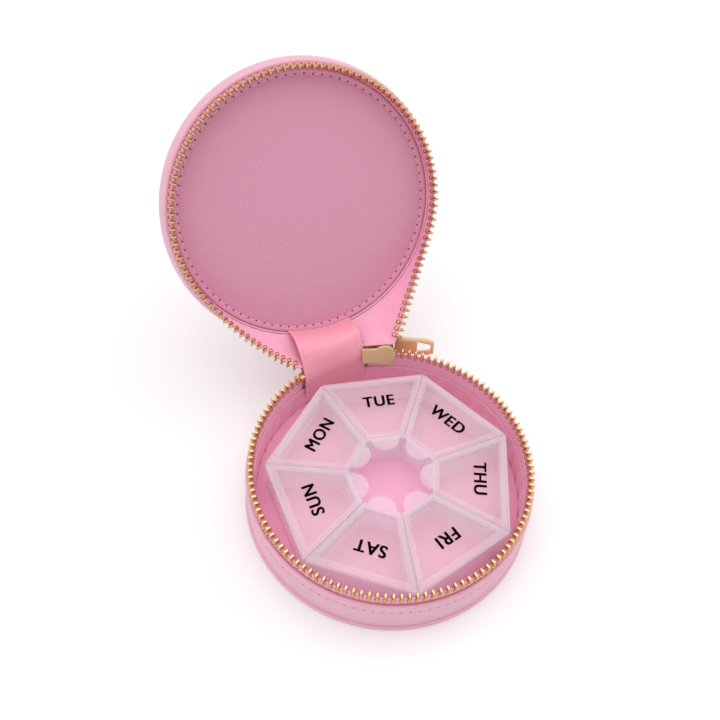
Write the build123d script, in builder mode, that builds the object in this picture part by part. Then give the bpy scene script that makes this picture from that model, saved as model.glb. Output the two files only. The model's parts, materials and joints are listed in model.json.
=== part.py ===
from build123d import *
import os
from math import ceil, cos, pi, radians, sin, tan

# A round zip-up pill case, standing open, with a seven-day tray inside.
# Millimetres. The origin is the middle of the base's underside, +Z is up, +Y points to the fabric hinge and
# X runs along it. The lid's pieces are drawn shut, then turned open about the hinge line.

os.makedirs("parts", exist_ok=True)

# Rows of teeth, and the level plane where the two rows meet when the case is shut
row_radius = 50.0
closing_height = 22.5
tooth_pitch = 2.618
tooth_depth = 2.6
tooth_head_reach = 1.0
tooth_head_width = 1.05
tooth_leg_width = 1.5
tooth_leg_length = 2.2
tooth_rounding = 0.35
tooth_grip_room = 0.03

# Thin curved layers of the wall, from the zip tape outwards and inwards
layer_gap = 0.05
tape_thickness = 0.6
band_thickness = 1.65
lining_thickness = 0.5
lip_overhang = 0.8
band_edge_drop = 5.0
band_edge_rounding = 0.5

# Base
base_panel_thickness = 1.2
base_board_thickness = 1.0
pad_thickness = 1.0
pad_side_room = 0.1
pad_edge_rounding = 0.4
base_tape_width = 10.5
base_lining_drop = 9.0

# Lid
lid_depth = 10.0
lid_panel_thickness = 1.2
lid_board_thickness = 0.9
inner_panel_thickness = 1.5
inner_panel_room = 0.85
inner_panel_rounding = 0.4
lid_tape_width = 5.0
lid_lining_edge = 4.5

# Fabric hinge, the line that the lid turns about and how far the lid stands open
hinge_offset = 5.4
lid_open_angle = 120.0
hinge_strip_left_clear = 1.2
hinge_strip_right_clear = 3.0
hinge_strip_thickness = 0.5
hinge_strip_room = 2.6
hinge_strip_base_low = 12.0
hinge_strip_base_high = 4.5
hinge_strip_crest = 4.3
hinge_strip_lid_end = 5.6
hinge_strip_bend = 2.4
cover_thickness = 1.0
cover_gap = 0.1
cover_base_low = 11.0
cover_base_high = 1.5
cover_lid_near = 2.5
cover_lid_far = 8.2
cover_bend = 2.4

# Where each row of teeth stops, as angles from the hinge direction
base_row_left_angle = 19.5
base_row_right_angle = 14.5
lid_row_stop_angle = 62.0
tape_end_spare_angle = 1.0
stop_length = 2.4
stop_gap = 0.3

# The last stretches of the lid's zip, which run straight from the lid to the base
end_tape_width = 3.6
end_gap = 0.3
end_slider_clear = 0.5
end_lift = 3.2

# Slider and pull
slider_angle = 17.5
slider_tilt = 20.0
slider_length = 13.0
slider_gap = 5.2
slider_plate = 1.1
slider_inner_half = 4.4
slider_outer_half = 3.6
slider_tail_half = 3.2
slider_plate_rounding = 0.3
slider_neck_length = 3.0
slider_neck_low = 1.7
slider_neck_inset = 1.4
slider_neck_top_inset = 0.9
crown_length = 5.4
crown_width = 2.2
crown_height = 2.9
crown_wall = 0.8
crown_at = 2.9
pull_bar = 1.1
pull_play = 0.15
pull_length = 18.5
pull_width = 7.0
pull_tip_width = 5.2
pull_thickness = 1.2
pull_eye_length = 3.2
pull_eye_width = 3.2
pull_window_length = 5.2
pull_window_rim = 1.3
pull_rest_swing = 12.0

# Seven-day tray and its lids
day_names = ["mon", "tue", "wed", "thu", "fri", "sat", "sun"]
first_corner_angle = 103.0
tray_side_room = 2.95
tray_forward = 2.2
tray_hole_radius = 16.0
tray_top_drop = 3.5
tray_floor = 1.0
tray_wall = 1.1
tray_corner_rounding = 1.2
pocket_rounding = 1.6
tray_foot_gap = 0.05
lid_plate = 1.25
lid_seat_gap = 0.05
lid_half_gap = 0.25
lid_hinge_inset = 0.7
skirt_depth = 1.6
skirt_thickness = 0.9
skirt_room = 0.2
skirt_hinge_room = 4.0
window_rim = 2.4
window_sink = 0.35
tab_width = 10.5
tab_reach = 4.6

# One overrun for all cuts
cut_past = 2.0

# Levels and radii worked out from the sizes above
tape_inner = row_radius - tape_thickness / 2
tape_outer = row_radius + tape_thickness / 2
band_inner = tape_outer + layer_gap
band_outer = band_inner + band_thickness
lining_outer = tape_inner - layer_gap
lining_inner = lining_outer - lining_thickness
lip_radius = band_outer + lip_overhang
board_radius = lining_inner - layer_gap
board_top = base_panel_thickness + base_board_thickness
pad_top = board_top + pad_thickness
base_tape_top = closing_height - tooth_head_reach
base_tape_low = base_tape_top - base_tape_width
lid_tape_low = closing_height + tooth_head_reach
lid_tape_top = lid_tape_low + lid_tape_width
lid_panel_low = closing_height + lid_depth - lid_panel_thickness
lid_board_low = lid_panel_low - lid_board_thickness
inner_panel_low = lid_board_low - inner_panel_thickness
inner_panel_radius = lining_inner - inner_panel_room
hinge_y = row_radius + hinge_offset
hinge_line = Axis((0, hinge_y, closing_height), (-1, 0, 0))
hinge_direction = 90.0
teeth_per_turn = round(2 * pi * row_radius / tooth_pitch)
pitch_angle = 360 / teeth_per_turn
full_turn = 360.0
hinge_strip_left = row_radius * sin(radians(base_row_left_angle)) - hinge_strip_left_clear
hinge_strip_right = row_radius * sin(radians(base_row_right_angle)) - hinge_strip_right_clear


def write(piece, name):
    """Labels a finished piece and writes its STEP file."""
    piece.label = name
    export_step(piece, f"parts/{name}.step")


def opened(piece):
    """Turns a piece of the lid, drawn shut, to where the lid stands open."""
    return piece.rotate(hinge_line, lid_open_angle)


def lid_point(x, y, rise):
    """A point of the lid, given shut by its height over the closing plane, where it is with the lid open."""
    turn = radians(lid_open_angle)
    back = y - hinge_y
    return Vector(
        x,
        hinge_y + back * cos(turn) + rise * sin(turn),
        closing_height - back * sin(turn) + rise * cos(turn),
    )


def disc(radius, low, thickness, rounding=0):
    """A round sheet, with its upper and lower edges rounded where that is asked for."""
    with BuildPart() as sheet:
        with BuildSketch(Plane.XY.offset(low)):
            Circle(radius)
        extrude(amount=thickness)
        if rounding:
            fillet(sheet.edges(), rounding)
    return sheet.part


def wall_ring(inner, outer, low, high):
    """A closed ring of wall between two heights."""
    with BuildPart() as ring:
        with BuildSketch(Plane.XY.offset(low)):
            Circle(outer)
            Circle(inner, mode=Mode.SUBTRACT)
        extrude(amount=high - low)
    return ring.part


def wall_band(low, high, free_edge):
    """The leather side wall, rounded along its free edge."""
    with BuildPart() as band:
        add(wall_ring(band_inner, band_outer, low, high))
        rims = band.edges().filter_by(GeomType.CIRCLE).filter_by_position(Axis.Z, free_edge, free_edge)
        fillet(rims.sort_by(SortBy.RADIUS)[-1], min(band_edge_rounding, band_thickness / 2))
    return band.part


def tape_arc(low, high, left_angle, right_angle):
    """A ring of zip tape that is cut away on both sides of the hinge, by angles from the hinge direction."""
    reach = tape_outer + cut_past
    left = radians(hinge_direction + left_angle)
    right = radians(hinge_direction - right_angle)
    middle = radians(hinge_direction + (left_angle - right_angle) / 2)
    apex_reach = reach / cos((left - right) / 2)
    with BuildPart() as tape:
        with BuildSketch(Plane.XY.offset(low)):
            Circle(tape_outer)
            Circle(tape_inner, mode=Mode.SUBTRACT)
            with BuildLine():
                Polyline(
                    (0, 0),
                    (reach * cos(right), reach * sin(right)),
                    (apex_reach * cos(middle), apex_reach * sin(middle)),
                    (reach * cos(left), reach * sin(left)),
                    close=True,
                )
            make_face(mode=Mode.SUBTRACT)
        extrude(amount=high - low)
    return tape.part


def tooth():
    """One tooth, pointing up at the origin: two legs that grip the tape, and the head over them."""
    grip = tape_thickness + 2 * tooth_grip_room
    with BuildPart() as one:
        with BuildSketch(Plane.XY.offset(-tooth_head_reach - tooth_leg_length)):
            Rectangle(tooth_depth, tooth_leg_width)
            Rectangle(grip, tooth_leg_width, mode=Mode.SUBTRACT)
        extrude(amount=tooth_leg_length)
        with BuildSketch(Plane.XY.offset(-tooth_head_reach)):
            Rectangle(tooth_depth, tooth_head_width)
        extrude(amount=2 * tooth_head_reach)
        ridge = one.faces().sort_by(Axis.Z)[-1].edges().filter_by(Axis.Y)
        fillet(ridge, tooth_rounding)
    return one.part


def tooth_row(start_angle, last_angle, flipped):
    """Teeth one pitch apart round the row, from the first one's angle; the lid's are upside down."""
    count = int((last_angle - start_angle) / pitch_angle) + 1
    single = tooth()
    if flipped:
        single = single.rotate(Axis.X, full_turn / 2)
    single = single.translate((row_radius, 0, closing_height))
    angles = [start_angle + step * pitch_angle for step in range(count)]
    return Compound([single.rotate(Axis.Z, angle) for angle in angles])


def fabric_strip(left, right, thickness, path_points, bend):
    """A strip across the hinge, swept along straight runs joined by arcs."""
    with BuildPart() as strip:
        with BuildLine() as path:
            FilletPolyline(*path_points, radius=bend)
        start = path.line @ 0
        with BuildSketch(Plane(start, x_dir=(1, 0, 0), z_dir=path.line % 0)):
            with Locations(((right - left) / 2, 0)):
                Rectangle(left + right, thickness)
        sweep(path=path.line)
    return strip.part


# Base: bottom, pad and wall
write(disc(lip_radius, 0, base_panel_thickness), "base_bottom_panel")
write(disc(board_radius, base_panel_thickness, base_board_thickness), "base_bottom_board")
floor_pad = disc(board_radius - pad_side_room, board_top, pad_thickness, pad_edge_rounding)
write(floor_pad, "base_floor_pad")
band_top = closing_height - band_edge_drop
write(wall_band(base_panel_thickness, band_top, band_top), "base_outer_band")
board_edge = base_tape_low - layer_gap
write(wall_ring(tape_inner, tape_outer, base_panel_thickness, board_edge), "base_wall_board")
lining_edge = closing_height - base_lining_drop
write(wall_ring(lining_inner, lining_outer, base_panel_thickness, lining_edge), "base_wall_lining")

# Base: zip tape, teeth and the stop at the closing end
base_tape = tape_arc(
    base_tape_low,
    base_tape_top,
    base_row_left_angle - tape_end_spare_angle,
    base_row_right_angle - tape_end_spare_angle,
)
write(base_tape, "base_zip_tape")
stop_angle = (stop_length + tooth_pitch) / 2 / row_radius * full_turn / (2 * pi)
base_first_angle = hinge_direction + base_row_left_angle + stop_angle
base_last_angle = hinge_direction + full_turn - base_row_right_angle
write(tooth_row(base_first_angle, base_last_angle, False), "base_zip_teeth")

stop_direction = radians(hinge_direction + base_row_left_angle)
stop_low = -tooth_head_reach - tooth_leg_length
with BuildPart() as top_stop:
    with BuildSketch(Plane.XY.offset(stop_low)):
        Rectangle(tooth_depth, stop_length - stop_gap)
        Rectangle(tape_thickness + 2 * tooth_grip_room, stop_length, mode=Mode.SUBTRACT)
    extrude(amount=tooth_leg_length)
    with BuildSketch(Plane.XY.offset(-tooth_head_reach)):
        Rectangle(tooth_depth, stop_length - stop_gap)
    extrude(amount=tooth_head_reach)
    fillet(top_stop.faces().sort_by(Axis.Z)[-1].edges(), tooth_rounding)
stop_piece = top_stop.part.translate((row_radius, 0, closing_height))
write(stop_piece.rotate(Axis.Z, hinge_direction + base_row_left_angle), "zip_top_stop")

# Lid: top, inner panel and wall
write(opened(disc(lip_radius, lid_panel_low, lid_panel_thickness)), "lid_top_panel")
write(opened(disc(board_radius, lid_board_low, lid_board_thickness)), "lid_top_board")
inner_panel = disc(inner_panel_radius, inner_panel_low, inner_panel_thickness, inner_panel_rounding)
write(opened(inner_panel), "lid_inner_panel")
lid_band_low = closing_height + band_edge_drop
write(opened(wall_band(lid_band_low, lid_panel_low, lid_band_low)), "lid_outer_band")
lid_board_edge = lid_tape_top + layer_gap
write(opened(wall_ring(tape_inner, tape_outer, lid_board_edge, lid_panel_low)), "lid_wall_board")
lid_lining_low = closing_height + lid_lining_edge
write(opened(wall_ring(lining_inner, lining_outer, lid_lining_low, lid_panel_low)), "lid_wall_lining")

# Lid: the part of the zip that keeps its round shape
lid_tape = tape_arc(lid_tape_low, lid_tape_top, lid_row_stop_angle, lid_row_stop_angle)
write(opened(lid_tape), "lid_zip_tape")
# The lid's teeth stand midway between the base's, so that the two rows mesh when the case is shut
whole_pitches = ceil((hinge_direction + lid_row_stop_angle - base_first_angle) / pitch_angle)
lid_first_angle = base_first_angle + (whole_pitches + 1 / 2) * pitch_angle
lid_last_angle = hinge_direction + full_turn - lid_row_stop_angle
write(opened(tooth_row(lid_first_angle, lid_last_angle, True)), "lid_zip_teeth")

# Fabric hinge: satin inside, leather outside
strip_y = lining_inner - hinge_strip_room - hinge_strip_thickness / 2
strip_points = [
    (0, strip_y, closing_height - hinge_strip_base_low),
    (0, strip_y, closing_height - hinge_strip_base_high),
    lid_point(0, strip_y, hinge_strip_crest - hinge_strip_base_high),
    lid_point(0, strip_y, hinge_strip_lid_end),
]
lining_strip = fabric_strip(
    hinge_strip_left, hinge_strip_right, hinge_strip_thickness, strip_points, hinge_strip_bend
)
write(lining_strip, "hinge_lining")
cover_y = band_outer + cover_gap + cover_thickness / 2
cover_points = [
    (0, cover_y, closing_height - cover_base_low),
    (0, cover_y, closing_height - cover_base_high),
    lid_point(0, cover_y, cover_lid_near),
    lid_point(0, cover_y, cover_lid_far),
]
cover_strip = fabric_strip(hinge_strip_left, hinge_strip_right, cover_thickness, cover_points, cover_bend)
write(cover_strip, "hinge_cover")

# Slider: its own plane lies along the row, facing inwards and a little up, with its head away from the hinge
slider_direction = radians(hinge_direction - slider_angle)
outwards = Vector(cos(slider_direction), sin(slider_direction), 0)
headwards = Vector(sin(slider_direction), -cos(slider_direction), 0)
tilt = radians(slider_tilt)
slider_plane = Plane(
    origin=outwards * row_radius + Vector(0, 0, closing_height),
    x_dir=headwards,
    z_dir=outwards * -cos(tilt) + Vector(0, 0, sin(tilt)),
)


def slider_outline(half):
    """Draws a slider plate in the sketch at hand: a round head with a narrower square tail."""
    head_at = slider_length / 2 - half
    tail_length = head_at + slider_length / 2
    with Locations((head_at, 0)):
        Circle(half)
    with Locations((head_at - tail_length / 2, 0)):
        Rectangle(tail_length, 2 * min(half, slider_tail_half))


with BuildPart() as slider:
    with BuildSketch(slider_plane.offset(slider_gap / 2)):
        slider_outline(slider_inner_half)
    extrude(amount=slider_plate)
    inner_face = slider.faces().sort_by(Axis(slider_plane.origin, slider_plane.z_dir))[-1]
    fillet(inner_face.edges(), slider_plate_rounding)
    with BuildSketch(slider_plane.offset(-slider_gap / 2)):
        slider_outline(slider_outer_half)
    extrude(amount=-slider_plate)
    neck_high = slider_outer_half - slider_neck_top_inset
    neck_middle = slider_length / 2 - slider_neck_inset - slider_neck_length / 2
    with BuildSketch(slider_plane.offset(-slider_gap / 2)):
        with Locations((neck_middle, (slider_neck_low + neck_high) / 2)):
            Rectangle(slider_neck_length, neck_high - slider_neck_low)
    extrude(amount=slider_gap)
    crown_foot = slider_gap / 2 + slider_plate
    with BuildSketch(slider_plane.offset(-crown_foot)):
        with Locations((crown_at, 0)):
            Rectangle(crown_length, crown_width)
    extrude(amount=-crown_height)
    with BuildSketch(slider_plane.offset(-crown_foot)):
        with Locations((crown_at, 0)):
            Rectangle(crown_length - 2 * crown_wall, crown_width)
    extrude(amount=-(crown_height - crown_wall), mode=Mode.SUBTRACT)
write(slider.part, "zip_slider")

# Pull: a round bar through the crown, an eye round the crown, and a bevelled tongue with a window at its tip
pull_bar_at = crown_at + crown_length / 2 - crown_wall - pull_bar / 2 - pull_play
pull_bar_out = crown_foot + crown_height - crown_wall - pull_bar / 2 - pull_play
pull_origin = slider_plane.from_local_coords(Vector(pull_bar_at, 0, -pull_bar_out))
pull_across = Plane(pull_origin, x_dir=slider_plane.x_dir, z_dir=slider_plane.y_dir)
pull_axis = Axis(pull_origin, slider_plane.y_dir)
pull_flat = Plane(pull_origin, x_dir=slider_plane.x_dir, z_dir=slider_plane.z_dir)
window_start = pull_length - pull_window_rim - pull_window_length
window_half = pull_width / 2 - pull_window_rim
window_tip_half = pull_tip_width / 2 - pull_window_rim
with BuildPart() as pull:
    with BuildSketch(pull_flat.offset(-pull_thickness / 2)):
        with BuildLine():
            Polyline(
                (0, -pull_width / 2),
                (pull_length - pull_tip_width / 2, -pull_width / 2),
                (pull_length, -pull_tip_width / 2),
                (pull_length, pull_tip_width / 2),
                (pull_length - pull_tip_width / 2, pull_width / 2),
                (0, pull_width / 2),
                close=True,
            )
        make_face()
        with Locations((pull_eye_length / 2, 0)):
            Rectangle(pull_eye_length, pull_eye_width, mode=Mode.SUBTRACT)
        with BuildLine():
            Polyline(
                (window_start, -window_half),
                (window_start + pull_window_length, -window_tip_half),
                (window_start + pull_window_length, window_tip_half),
                (window_start, window_half),
                close=True,
            )
        make_face(mode=Mode.SUBTRACT)
    extrude(amount=pull_thickness)
    with BuildSketch(pull_across.offset(-pull_width / 2)):
        Circle(pull_bar / 2)
    extrude(amount=pull_width)
write(pull.part.rotate(pull_axis, -pull_rest_swing), "zip_pull")

# The lid's zip ends: straight tapes with teeth, from the lid's row to the base's and to the slider's mouth
row_stop = radians(lid_row_stop_angle)
lid_left_end = lid_point(-row_radius * sin(row_stop), row_radius * cos(row_stop), 0)
lid_right_end = lid_point(row_radius * sin(row_stop), row_radius * cos(row_stop), 0)
base_left_end = Vector(
    row_radius * cos(stop_direction), row_radius * sin(stop_direction), closing_height + end_lift
)
mouth_reach = slider_length / 2 + end_slider_clear
slider_mouth = slider_plane.from_local_coords(Vector(mouth_reach, end_lift, 0))
half_open = radians(lid_open_angle / 2)
lid_side = Vector(0, sin(half_open), cos(half_open))


def zip_end_plane(lid_end, base_end):
    """A plane whose X runs from the lid's row to the base and whose Z points down from tape to teeth."""
    run = (base_end - lid_end).normalized()
    down = (run * lid_side.dot(run) - lid_side).normalized()
    return Plane(lid_end, x_dir=run.cross(down), z_dir=down), (base_end - lid_end).length


def zip_end_tape(lid_end, base_end):
    """The straight tape of one zip end."""
    plane, length = zip_end_plane(lid_end, base_end)
    with BuildPart() as tape:
        with BuildSketch(plane.offset(-tooth_head_reach)):
            with Locations((0, length / 2)):
                Rectangle(tape_thickness, length - 2 * end_gap)
        extrude(amount=-end_tape_width)
    return tape.part


def zip_end_teeth(lid_end, base_end):
    """The teeth of one zip end, one pitch apart along the straight tape."""
    plane, length = zip_end_plane(lid_end, base_end)
    count = int((length - 2 * end_gap - tooth_leg_width) / tooth_pitch) + 1
    first = (length - (count - 1) * tooth_pitch) / 2
    single = tooth()
    places = [Location((0, first + step * tooth_pitch, 0)) for step in range(count)]
    return [plane.location * place * single for place in places]


zip_ends = [(lid_left_end, base_left_end), (lid_right_end, slider_mouth)]
write(Compound([zip_end_tape(*end) for end in zip_ends]), "lid_zip_end_tapes")
end_teeth = [single for end in zip_ends for single in zip_end_teeth(*end)]
write(Compound(end_teeth), "lid_zip_end_teeth")

# Tray: a seven-sided ring of trapezoid pockets round an open middle
sides = len(day_names)
half_sector = 180 / sides
sector_slope = tan(radians(half_sector))
sector_cosine = cos(radians(half_sector))
tray_radius = lining_inner - tray_side_room
tray_apothem = tray_radius * sector_cosine
hole_apothem = tray_hole_radius * sector_cosine
tray_low = pad_top + tray_foot_gap
day_lid_top = closing_height - tray_top_drop
tray_high = day_lid_top - lid_plate - lid_seat_gap
first_middle = first_corner_angle + half_sector


def sector_outline(inner_apothem, outer_apothem, side_inset):
    """Corners of one day's trapezoid, pointing along +X, drawn in from its two radial sides."""
    inner_half = inner_apothem * sector_slope - side_inset / sector_cosine
    outer_half = outer_apothem * sector_slope - side_inset / sector_cosine
    return [
        (inner_apothem, -inner_half),
        (outer_apothem, -outer_half),
        (outer_apothem, outer_half),
        (inner_apothem, inner_half),
    ]


pocket_corners = sector_outline(hole_apothem + tray_wall, tray_apothem - tray_wall, tray_wall / 2)
with BuildPart() as tray:
    with BuildSketch(Plane.XY.offset(tray_low)) as tray_plan:
        RegularPolygon(tray_radius, sides, rotation=first_corner_angle)
        fillet(tray_plan.vertices(), tray_corner_rounding)
        RegularPolygon(tray_hole_radius, sides, rotation=first_corner_angle, mode=Mode.SUBTRACT)
    extrude(amount=tray_high - tray_low)
    with BuildSketch(Plane.XY.offset(tray_low + tray_floor)) as pockets:
        with PolarLocations(0, sides, start_angle=first_middle):
            Polygon(*pocket_corners, align=None)
        fillet(pockets.vertices(), pocket_rounding)
    extrude(amount=tray_high + cut_past, mode=Mode.SUBTRACT)
tray_place = Vector(0, -tray_forward, 0)
write(tray.part.translate(tray_place), "pill_tray")

# Day lids: a plate with a sunk window, a skirt inside the pocket, a thumb tab and a round hinge edge
day_hinge_apothem = tray_apothem - lid_hinge_inset
day_hinge_z = day_lid_top - lid_plate / 2
tab_root = hole_apothem
with BuildPart() as day_lid:
    with BuildSketch(Plane.XY.offset(day_lid_top - lid_plate)):
        with BuildLine():
            Polyline(*sector_outline(hole_apothem, day_hinge_apothem, lid_half_gap), close=True)
        make_face()
        with BuildLine():
            tab_edge = Line((tab_root, -tab_width / 2), (tab_root, tab_width / 2))
            ThreePointArc(tab_edge @ 1, (tab_root - tab_reach, 0), tab_edge @ 0)
        make_face()
    extrude(amount=lid_plate)
    hinge_half = day_hinge_apothem * sector_slope - lid_half_gap / sector_cosine
    with BuildSketch(Plane.XZ.offset(-hinge_half)):
        with Locations((day_hinge_apothem, day_hinge_z)):
            Circle(lid_plate / 2)
    extrude(amount=2 * hinge_half)
    skirt_inner = hole_apothem + tray_wall + skirt_room
    skirt_outer = day_hinge_apothem - skirt_hinge_room
    skirt_inset = tray_wall / 2 + skirt_room
    with BuildSketch(Plane.XY.offset(day_lid_top - lid_plate)) as skirt_plan:
        with BuildLine():
            Polyline(*sector_outline(skirt_inner, skirt_outer, skirt_inset), close=True)
        make_face()
        fillet(skirt_plan.vertices().group_by(Axis.X)[0], pocket_rounding)
        with BuildLine():
            Polyline(
                *sector_outline(
                    skirt_inner + skirt_thickness, skirt_outer + cut_past, skirt_inset + skirt_thickness
                ),
                close=True,
            )
        make_face(mode=Mode.SUBTRACT)
    extrude(amount=-skirt_depth)
    with BuildSketch(Plane.XY.offset(day_lid_top - window_sink)):
        with BuildLine():
            window_span = (hole_apothem + window_rim, day_hinge_apothem - window_rim)
            Polyline(*sector_outline(*window_span, window_rim), close=True)
        make_face()
    extrude(amount=window_sink + cut_past, mode=Mode.SUBTRACT)

for step, day in enumerate(day_names):
    turned_lid = day_lid.part.rotate(Axis.Z, first_middle - step * 2 * half_sector)
    write(turned_lid.translate(tray_place), f"day_lid_{day}")
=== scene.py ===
import json
import logging
import math
from collections.abc import Callable
from dataclasses import dataclass
from enum import Enum

import bmesh
import bpy
from mathutils import Matrix, Vector


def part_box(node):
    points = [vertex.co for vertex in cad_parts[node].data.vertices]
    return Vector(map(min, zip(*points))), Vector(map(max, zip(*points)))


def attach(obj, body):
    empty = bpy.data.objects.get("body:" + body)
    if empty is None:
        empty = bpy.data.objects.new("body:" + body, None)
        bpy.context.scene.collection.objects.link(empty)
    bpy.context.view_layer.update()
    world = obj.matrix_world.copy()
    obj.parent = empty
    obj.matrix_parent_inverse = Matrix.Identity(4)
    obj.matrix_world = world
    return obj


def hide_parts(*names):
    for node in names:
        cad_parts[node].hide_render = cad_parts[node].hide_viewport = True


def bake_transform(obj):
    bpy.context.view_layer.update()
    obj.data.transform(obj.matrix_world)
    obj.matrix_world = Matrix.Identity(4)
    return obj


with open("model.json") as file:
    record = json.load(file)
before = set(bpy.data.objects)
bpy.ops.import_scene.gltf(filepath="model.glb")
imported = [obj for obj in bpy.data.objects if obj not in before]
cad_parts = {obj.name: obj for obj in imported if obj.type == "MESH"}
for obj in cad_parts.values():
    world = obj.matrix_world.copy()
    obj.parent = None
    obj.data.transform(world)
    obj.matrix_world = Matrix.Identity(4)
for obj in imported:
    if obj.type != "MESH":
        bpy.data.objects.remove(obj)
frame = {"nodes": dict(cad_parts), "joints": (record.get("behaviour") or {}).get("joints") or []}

LOG = logging.getLogger("pill_case")
MM = 0.001
MERGE = MM / 1000
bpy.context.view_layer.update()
DAYS = ("mon", "tue", "wed", "thu", "fri", "sat", "sun")
Outline = list[tuple[float, float]]
Triple = tuple[float, float, float]
Piece = bpy.types.Object
Tree = bpy.types.NodeTree
Sockets = tuple[bpy.types.NodeSocket, bpy.types.NodeSocket]


class Body(str, Enum):
    """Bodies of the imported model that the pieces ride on."""

    BASE = "base"
    LID = "case_lid"
    TRAY = "tray"
    SLIDER = "slider"
    PULL = "pull"


class Hold(str, Enum):
    """How a sheet of cloth is held."""

    STRETCHED = "stretched"
    GATHERED = "gathered"


class Slot(str, Enum):
    """The record's slots, one for each kind of surface."""

    LEATHER = "pink_leather"
    TWILL = "twill_leather"
    TAPE = "zip_tape"
    SATIN = "satin_lining"
    PAD = "pad_fabric"
    GOLD = "gold_metal"
    PLATE = "satin_gold"
    PLASTIC = "clear_plastic"


class LampKind(str, Enum):
    """Kinds of lamp that light the case."""

    SUN = "SUN"
    AREA = "AREA"


@dataclass(frozen=True)
class Layout:
    """Main lines of the case in millimetres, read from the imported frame."""

    closing: float
    hinge_y: float
    row_radius: float
    open_angle: float

    @classmethod
    def read(cls) -> "Layout":
        """Reads the hinge line and the row of teeth from the frame.

        Returns:
            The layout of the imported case.
        """
        hinge = next(joint for joint in frame["joints"] if joint["name"] == "case_lid_hinge")
        low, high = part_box("base_zip_teeth")
        tooth_half_depth = 1.3
        return cls(
            closing=hinge["pos_m"][2] / MM,
            hinge_y=hinge["pos_m"][1] / MM,
            row_radius=(high.x - low.x) / 2 / MM - tooth_half_depth,
            open_angle=math.radians(-hinge["range_deg"][0]),
        )

    def opening(self) -> Matrix:
        """The turn, in metres, that takes a lid piece drawn shut to where the lid stands open."""
        line = Matrix.Translation((0, self.hinge_y * MM, self.closing * MM))
        return line @ Matrix.Rotation(-self.open_angle, 4, "X") @ line.inverted()

    def lid_point(self, x: float, y: float, rise: float) -> Vector:
        """A point of the open lid, given shut by its height over the closing plane.

        Args:
            x: Place along the hinge line.
            y: Place towards the hinge.
            rise: Height over the closing plane.

        Returns:
            The point in millimetres, with the lid open.
        """
        shut = Vector((x, y, self.closing + rise)) * MM
        return self.opening() @ shut / MM


LAYOUT = Layout.read()


def linear(hex_colour: str) -> tuple[float, float, float, float]:
    """Turns an sRGB hex colour to linear values.

    Args:
        hex_colour: Six hex digits after a hash sign.

    Returns:
        Linear red, green and blue, with full alpha.
    """
    shares = [int(hex_colour[at : at + 2], 16) / 255 for at in (1, 3, 5)]
    red, green, blue = (s / 12.92 if s <= 0.04045 else ((s + 0.055) / 1.055) ** 2.4 for s in shares)
    return red, green, blue, 1.0


def add_node(
    tree: Tree,
    kind: str,
    values: dict | None = None,
    links: dict | None = None,
    **settings: object,
) -> bpy.types.Node:
    """Adds one node with its settings, socket values and links.

    Args:
        tree: The node tree to add to.
        kind: The node's type name.
        values: Socket values by socket name or number.
        links: Sockets to link from, by input name or number.
        settings: Properties of the node itself.

    Returns:
        The new node.
    """
    node = tree.nodes.new(kind)
    for key, value in settings.items():
        setattr(node, key, value)
    for key, value in (values or {}).items():
        node.inputs[key].default_value = value
    for key, socket in (links or {}).items():
        tree.links.new(socket, node.inputs[key])
    return node


@dataclass(frozen=True)
class Finish:
    """A material with two close colours and a surface relief; each kind draws its own pattern."""

    name: str
    colour: str
    second: str
    roughness: float
    relief: float = 0.3
    relief_depth_mm: float = 0.05

    def make(self) -> bpy.types.Material:
        """Builds the node material.

        Returns:
            The material, with its pattern and relief linked.
        """
        material = bpy.data.materials.new(self.name)
        material.use_nodes = True
        tree = material.node_tree
        tree.nodes.clear()
        shade, height = self.pattern(tree)
        colours = {6: linear(self.colour), 7: linear(self.second)}
        mixed = add_node(tree, "ShaderNodeMix", colours, {0: shade}, data_type="RGBA")
        relief = {"Strength": self.relief, "Distance": self.relief_depth_mm * MM}
        bump = add_node(tree, "ShaderNodeBump", relief, {"Height": height})
        links = {"Base Color": mixed.outputs[2], "Normal": bump.outputs[0]}
        surface = add_node(tree, "ShaderNodeBsdfPrincipled", {"Roughness": self.roughness}, links)
        self.dress(tree, surface)
        add_node(tree, "ShaderNodeOutputMaterial", links={"Surface": surface.outputs[0]})
        return material

    def pattern(self, tree: Tree) -> Sockets:
        """Draws the pattern: a soft mottling, unless a kind of finish draws its own.

        Args:
            tree: The material's node tree.

        Returns:
            The socket that mixes the colours and the one that gives the relief.
        """
        mottle_mm = 4.0
        place = add_node(tree, "ShaderNodeTexCoord").outputs["Object"]
        values = {"Scale": 1 / (mottle_mm * MM), "Detail": 3.0}
        noise = add_node(tree, "ShaderNodeTexNoise", values, {"Vector": place})
        return noise.outputs["Fac"], noise.outputs["Fac"]

    def dress(self, tree: Tree, surface: bpy.types.Node) -> None:
        """Sets the shader's other sockets; a plain finish needs none."""


@dataclass(frozen=True)
class Leather(Finish):
    """Coated synthetic leather: pale, with a fine pebbled grain that dulls its shine."""

    grain_mm: float = 0.55

    def pattern(self, tree: Tree) -> Sockets:
        """Draws pebbled grain over a broad mottling."""
        shade, _ = Finish.pattern(self, tree)
        place = add_node(tree, "ShaderNodeTexCoord").outputs["Object"]
        values = {"Scale": 1 / (self.grain_mm * MM)}
        grain = add_node(tree, "ShaderNodeTexVoronoi", values, {"Vector": place}, feature="SMOOTH_F1")
        return shade, grain.outputs["Distance"]


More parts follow.
